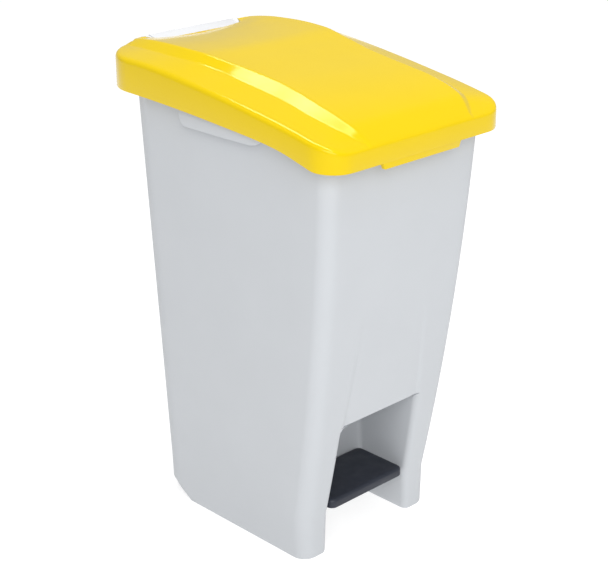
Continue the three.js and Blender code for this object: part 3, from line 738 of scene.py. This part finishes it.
# ---- side grips ----
def make_grip(label, side):
    rear, front, top, bottom = GRIP["rear"], GRIP["front"], GRIP["top"], GRIP["bottom"]
    face = [(rear, top), (rear - 1, bottom + 15), (rear - 4, bottom + 7), (rear - 9, bottom + 2),
            (rear - 14, bottom), (-20, bottom), (front + 32, bottom + 1), (front + 20, bottom + 4),
            (front + 11, bottom + 9), (front + 4, bottom + 16), (front, top)]
    near, far = sorted((side * (GRIP["outer"] - 3), side * GRIP["outer"]))
    panel = prism("panel", "x", face, near, far, 1.1, 3)
    wall = tub_half(top)
    near, far = sorted((side * (wall + 0.4), side * (GRIP["outer"] - 2)))
    edge = [(rear - 0.3, top - 3.2), (rear - 0.3, top - 0.2), (front + 0.3, top - 0.2),
            (front + 0.3, top - 3.2)]
    shelf = prism("shelf", "x", edge, near, far, 0.6, 2)
    parts = [panel, shelf]
    for y in (front + 40, 0, rear - 30):
        web = [(side * (tub_half(725) + 0.6), top - 2), (side * (GRIP["outer"] - 2), top - 2),
               (side * (GRIP["outer"] - 2), top - 9), (side * (tub_half(725) + 0.6), top - 4)]
        parts.append(prism("web", "y", web, y - 1, y + 1, 0.3, 2))
    return join(f"grip_{label}", *parts)


# ---- the pedal's tread ----
def rounded_rectangle(half, front, back, radius, steps=8):
    corners = [(half - radius, front + radius, -90), (half - radius, back - radius, 0),
               (-half + radius, back - radius, 90), (-half + radius, front + radius, 180)]
    outline = []
    for x, y, start in corners:
        for k in range(steps + 1):
            angle = math.radians(start + 90 * k / steps)
            outline.append((x + radius * math.cos(angle), y + radius * math.sin(angle)))
    return outline


def make_tread():
    half, front, back = TREAD["half"], TREAD["front"], TREAD["back"]
    top, low = TREAD["top"], TREAD["top"] - TREAD["height"]
    levels = [
        (top, 8), (top - 0.35, 5), (top - 1.2, 2.8), (top - 2.6, 1.1), (top - 4.6, 0.2), (top - 7, 0),
        (low + 2, 0), (low + 0.5, 0.4), (low, 1.4), (low, 2.8), (low + 0.6, 3.6), (low + 1.6, 4),
        (top - 8, 4), (top - 5, 7),
    ]
    points, faces = [], []
    for z, inset in levels:
        radius = max(TREAD["corner"] - inset, 1.5)
        outline = rounded_rectangle(half - inset, front + inset, back - inset, radius)
        points += [(x, y, z) for x, y in outline]
    size = len(points) // len(levels)
    for j in range(len(levels) - 1):
        for k in range(size):
            n = (k + 1) % size
            faces.append([j * size + k, j * size + n, (j + 1) * size + n, (j + 1) * size + k])
    faces.append(list(range(size)))
    faces.append([(len(levels) - 1) * size + k for k in range(size)])
    parts = [skin("plate", points, faces, 40)]
    for side in (-1, 1):
        for x in (15.4, 52):
            web = [(side * x, front + 3), (side * (x + 2.4), front + 3), (side * (x + 2.4), back - 3),
                   (side * x, back - 3)]
            parts.append(prism("web", "z", web, low + 1.2, top - 4, 0.4, 2))
    boss = [(-15, front + 18), (15, front + 18), (15, back - 3), (-15, back - 3)]
    parts.append(prism("boss", "z", boss, 74.4, top - 4, 0.4, 2))
    return join("pedal_plate", *parts)


# ---- wheels ----
def make_wheel(label, side):
    a, b = side * WHEEL["inner"], side * WHEEL["outer"]
    mid = (a + b) / 2
    w = side
    radius, rim = WHEEL["radius"], WHEEL["rim"]
    tread = [(rim, a), (radius - 5, a), (radius - 2, a + 1.2 * w), (radius - 0.5, a + 3.5 * w),
             (radius, a + 6 * w), (radius, mid - 2.6 * w), (radius - 1.2, mid - 2.2 * w),
             (radius - 1.2, mid - 1 * w), (radius, mid - 0.6 * w), (radius, mid + 0.6 * w),
             (radius - 1.2, mid + 1 * w), (radius - 1.2, mid + 2.2 * w), (radius, mid + 2.6 * w),
             (radius, b - 6 * w), (radius - 0.5, b - 3.5 * w), (radius - 2, b - 1.2 * w),
             (radius - 5, b), (rim, b), (rim, a)]
    tyre = lathe(f"tyre_{label}", "x", tread, WHEEL["y"], radius, 72)
    c, d = side * 102, side * 128
    disc = [(4.3, c), (9.6, c), (10.8, c + 1.2 * w), (11, mid - 4 * w), (17.5, mid - 4 * w),
            (18.2, a + 2 * w), (19.4, a + 0.6 * w), (23, a + 0.2 * w), (24, a + 1.2 * w),
            (24, b - 1.2 * w), (23, b - 0.2 * w), (19.4, b - 0.6 * w), (18.2, b - 2 * w),
            (17.5, mid + 4 * w), (11, mid + 4 * w), (10.8, d - 1.2 * w), (9.6, d), (4.3, d), (4.3, c)]
    parts = [lathe("disc", "x", disc, WHEEL["y"], radius, 64)]
    for k in range(6):
        angle = math.pi * k / 3
        u, v = math.cos(angle), math.sin(angle)
        spoke = [(WHEEL["y"] + s * v + t * u, radius - s * u + t * v)
                 for t, s in ((10.5, -1.2), (18.6, -1.2), (18.6, 1.2), (10.5, 1.2))]
        start, end = sorted((a + 3 * w, b - 3 * w))
        parts.append(prism("spoke", "x", spoke, start, end, 0.4, 2))
    return tyre, join(f"hub_{label}", *parts)


def make_soles():
    """The plates that close the front legs' feet."""
    parts = []
    for side in (-1, 1):
        low, high = 0.4, SOLE["thick"]
        inner, outer = ALCOVE["half_floor"] + 1.5, FLOOR_HALF - 1.5
        front = KINK["front"] + 1.5
        outline = [(inner, front + 13), (inner + 13, front), (outer - 25, front),
                   (outer - 9, front + 6), (outer - 2, front + 16), (outer, front + 27),
                   (outer, SOLE["rear"]), (inner, SOLE["rear"])]
        parts.append(prism("sole", "z", [(side * x, y) for x, y in outline], low, high, 0.3, 2))
    for side in (-1, 1):
        start, end = sorted((side * 92, side * 98))
        plate = [(132, 20), (168, 26), (168, 72), (132, 72)]
        parts.append(prism("bracket", "x", plate, start, end, 0.8))
        parts.append(lathe("boss", "x", [(4.3, side * 130), (8.4, side * 130), (9, side * 130.8),
                                         (9, side * 149), (4.3, side * 149), (4.3, side * 130)],
                           WHEEL["y"], WHEEL["radius"], 32))
        start, end = sorted((side * 60, side * 66))
        ear = [(49, 37), (52, 33), (57, 31), (69, 31), (74, 33), (77, 37), (77, 72), (49, 72)]
        hole = lathe("hole", "x", [(0, side * 50), (7.3, side * 50), (7.3, side * 80), (0, side * 80)],
                     63, 45, 32)
        parts.append(cut(prism("ear", "x", ear, start, end, 0.6), hole))
    return parts


# ---- materials ----
BUMP_DEPTH = 0.0004                  # metres
SCATTER_DEPTH = 0.004                # metres
def noise(tree, coords, scale, detail=2.0):
    node = tree.nodes.new("ShaderNodeTexNoise")
    node.inputs["Scale"].default_value = scale
    node.inputs["Detail"].default_value = detail
    tree.links.new(coords.outputs["Object"], node.inputs["Vector"])
    return node.outputs["Fac"]


def spread(tree, source, low, high, start=0.3, end=0.7):
    """Carries a 0..1 value from start..end to low..high."""
    node = tree.nodes.new("ShaderNodeMapRange")
    node.inputs["From Min"].default_value = start
    node.inputs["From Max"].default_value = end
    node.inputs["To Min"].default_value = low
    node.inputs["To Max"].default_value = high
    tree.links.new(source, node.inputs["Value"])
    return node.outputs["Result"]


def blend_colour(tree, factor, one, two):
    node = tree.nodes.new("ShaderNodeMix")
    node.data_type = "RGBA"
    tree.links.new(factor, node.inputs["Factor"])
    for socket, colour in ((node.inputs[6], one), (node.inputs[7], two)):
        if isinstance(colour, tuple):
            socket.default_value = (*colour, 1)
        else:
            tree.links.new(colour, socket)
    return node.outputs[2]


def shaded(colour, amount):
    return tuple(min(c * amount, 1) for c in colour)


def finish(name, colour, roughness, vary=0.04, rough_vary=0.05, grain=(1100, 0.08), patch=7,
           edge=(1.08, 0.6), metallic=0.0, specular=0.5,
           subsurface=0.0, drawn=None, tint=(1, 1, 1)):
    """A moulded or metal finish: cloudy colour, uneven gloss, fine grain and a painted highlight that
    lightens convex edges.
    """
    material = bpy.data.materials.new(name)
    material.use_nodes = True
    tree = material.node_tree
    shader = tree.nodes["Principled BSDF"]
    coords = tree.nodes.new("ShaderNodeTexCoord")
    cloud = noise(tree, coords, patch, 4)
    base = blend_colour(tree, spread(tree, cloud, 0, 1), shaded(colour, 1 - vary),
                        shaded(colour, 1 + vary))
    # painted highlight: convex edges, found by pointiness, are lightened by edge[0] up to the share
    # edge[1], standing in for the light that rounded edges catch
    geometry = tree.nodes.new("ShaderNodeNewGeometry")
    edge_highlight = spread(tree, geometry.outputs["Pointiness"], 0, edge[1], 0.52, 0.6)
    base = blend_colour(tree, edge_highlight, base, shaded(colour, edge[0]))
    tree.links.new(base, shader.inputs["Base Color"])
    smudge = noise(tree, coords, patch * 3.1, 5)
    tree.links.new(
        spread(tree, smudge, roughness - rough_vary, roughness + rough_vary),
        shader.inputs["Roughness"],
    )
    if drawn:
        stretch = tree.nodes.new("ShaderNodeMapping")
        stretch.inputs["Scale"].default_value = drawn
        tree.links.new(coords.outputs["Object"], stretch.inputs["Vector"])
        fine = tree.nodes.new("ShaderNodeTexNoise")
        fine.inputs["Scale"].default_value = grain[0]
        tree.links.new(stretch.outputs["Vector"], fine.inputs["Vector"])
        height = fine.outputs["Fac"]
    else:
        height = noise(tree, coords, grain[0], 2)
    bump = tree.nodes.new("ShaderNodeBump")
    bump.inputs["Strength"].default_value = grain[1]
    bump.inputs["Distance"].default_value = BUMP_DEPTH
    tree.links.new(height, bump.inputs["Height"])
    tree.links.new(bump.outputs["Normal"], shader.inputs["Normal"])
    shader.inputs["Metallic"].default_value = metallic
    shader.inputs["Specular IOR Level"].default_value = specular
    shader.inputs["Specular Tint"].default_value = (*tint, 1)
    shader.inputs["Subsurface Weight"].default_value = subsurface
    shader.inputs["Subsurface Scale"].default_value = SCATTER_DEPTH
    return material


# edge=(lightening, share) sets each finish's painted highlight on convex edges
FINISHES = {
    "lid_yellow": finish("lid_yellow", (0.72, 0.515, 0.001), 0.15, vary=0.015, rough_vary=0.03,
                         grain=(900, 0.02), edge=(1.06, 0.4), specular=0.42, tint=(1, 0.9, 0.45)),
    "body_white": finish("body_white", (0.515, 0.535, 0.56), 0.5, vary=0.012, grain=(1400, 0.12),
                         edge=(1.05, 0.5)),
    "handle_white": finish("handle_white", (0.66, 0.67, 0.69), 0.42, vary=0.01,
                           grain=(1400, 0.08), edge=(1.03, 0.4)),
    "pedal_dark": finish("pedal_dark", (0.013, 0.0165, 0.028), 0.5, vary=0.12, rough_vary=0.08,
                         grain=(1300, 0.35), patch=14, edge=(2.2, 0.7)),
    "steel": finish("steel", (0.56, 0.56, 0.55), 0.32, vary=0.1, rough_vary=0.1, grain=(500, 0.15),
                    patch=40, edge=(1.3, 0.6), metallic=1.0, drawn=(1, 1, 0.06)),
    "nylon": finish("nylon", (0.72, 0.69, 0.6), 0.45, vary=0.03, grain=(1200, 0.12), patch=20,
                    subsurface=0.15),
    "buffer_rubber": finish("buffer_rubber", (0.018, 0.018, 0.018), 0.75, vary=0.25,
                            grain=(1500, 0.3), patch=30, edge=(2.0, 0.5)),
    "tyre_rubber": finish("tyre_rubber", (0.022, 0.022, 0.023), 0.8, vary=0.3, grain=(800, 0.45),
                          patch=25, edge=(2.4, 0.6)),
    "hub_grey": finish("hub_grey", (0.2, 0.21, 0.23), 0.5, vary=0.06, grain=(1100, 0.2), patch=20),
}

# ---- pieces on their bodies ----
SLOT_OF = {row["node"]: row["material_slot"] for row in frame["record"]["subparts"]}
for node, obj in frame["nodes"].items():
    obj.data.materials.clear()
    obj.data.materials.append(FINISHES[SLOT_OF[node]])


def dress(obj, body, slot, *nodes):
    return place(obj, body, slot, FINISHES[slot], *nodes)


dress(make_lid(), "lid", "lid_yellow", "lid_shell")
dress(join("tub_moulding", make_tub(), *make_soles()), "bin", "body_white", "body_shell")
dress(make_handle(), "bin", "handle_white", "rear_handle")
dress(make_tread(), "pedal", "pedal_dark", "pedal_tread")
for label, side in (("left", -1), ("right", 1)):
    dress(make_hinge_block(label, side), "lid", "handle_white", f"hinge_block_{label}")
    dress(make_grip(label, side), "bin", "body_white", f"side_grip_{label}")
    tyre, hub = make_wheel(label, side)
    dress(tyre, f"{label}_wheel", "tyre_rubber", f"wheel_tyre_{label}")
    dress(hub, f"{label}_wheel", "hub_grey", f"wheel_hub_{label}")

# ---- stage, light and camera ----
FLOOR_REACH = 40                     # metres
FLOOR_LOOKS = {"albedo": 0.4, "glow": 0.78}
ROOM_LIGHT = 0.45
EYE = Vector((-1.65733, -1.69968, 1.35378))
EYE_RIGHT = Vector((0.71484, -0.69929, 0))
EYE_FORWARD = Vector((0.64873, 0.66315, -0.37334))
LENS = {"sensor": 36, "length": 89.55, "shift_x": 0.0037, "shift_y": 0.0081}
floor_mesh = bpy.data.meshes.new("floor")
corners = [(x * FLOOR_REACH, y * FLOOR_REACH, 0) for x, y in ((-1, -1), (1, -1), (1, 1), (-1, 1))]
floor_mesh.from_pydata(corners, [], [(0, 1, 2, 3)])
floor = link(bpy.data.objects.new("floor", floor_mesh))
floor_material = bpy.data.materials.new("floor_white")
floor_material.use_nodes = True
floor_shader = floor_material.node_tree.nodes["Principled BSDF"]
floor_shader.inputs["Base Color"].default_value = (*[FLOOR_LOOKS["albedo"]] * 3, 1)
floor_shader.inputs["Roughness"].default_value = 0.9
floor_shader.inputs["Emission Color"].default_value = (1, 1, 1, 1)
floor_shader.inputs["Emission Strength"].default_value = FLOOR_LOOKS["glow"]
floor_mesh.materials.append(floor_material)

world = bpy.data.worlds.new("studio")
bpy.context.scene.world = world
world.use_nodes = True
backdrop = world.node_tree.nodes["Background"]
backdrop.inputs["Color"].default_value = (1, 1, 1, 1)
backdrop.inputs["Strength"].default_value = ROOM_LIGHT

bpy.context.scene.view_settings.view_transform = "Standard"


def softbox(name, place, aim, width, height, power):
    """A rectangular lamp at `place`, facing `aim`."""
    lamp = bpy.data.lights.new(name, "AREA")
    lamp.shape = "RECTANGLE"
    lamp.size, lamp.size_y = width, height
    lamp.energy = power
    obj = link(bpy.data.objects.new(name, lamp))
    obj.location = place
    obj.rotation_euler = (Vector(place) - Vector(aim)).to_track_quat("Z", "Y").to_euler()
    return obj


# a long narrow box overhead, for the bright facet on the lid, and a broad one beside the camera
softbox("overhead", (0.3, 0.13, 3.29), (0.3, 0.13, 0), 0.62, 3.1, 58)
softbox("camera_side", (-2.13, -2.73, 2.4), (0, 0, 0.4), 3.0, 2.5, 94)

camera = bpy.data.cameras.new("camera")
camera.sensor_width = LENS["sensor"]
camera.lens = LENS["length"]
camera.shift_x, camera.shift_y = LENS["shift_x"], LENS["shift_y"]
camera.clip_start, camera.clip_end = 0.1, 60
viewer = link(bpy.data.objects.new("camera", camera))
eye_up = EYE_RIGHT.cross(EYE_FORWARD)
viewer.matrix_world = Matrix((
    (EYE_RIGHT.x, eye_up.x, -EYE_FORWARD.x, EYE.x),
    (EYE_RIGHT.y, eye_up.y, -EYE_FORWARD.y, EYE.y),
    (EYE_RIGHT.z, eye_up.z, -EYE_FORWARD.z, EYE.z),
    (0, 0, 0, 1),
))
bpy.context.scene.camera = viewer
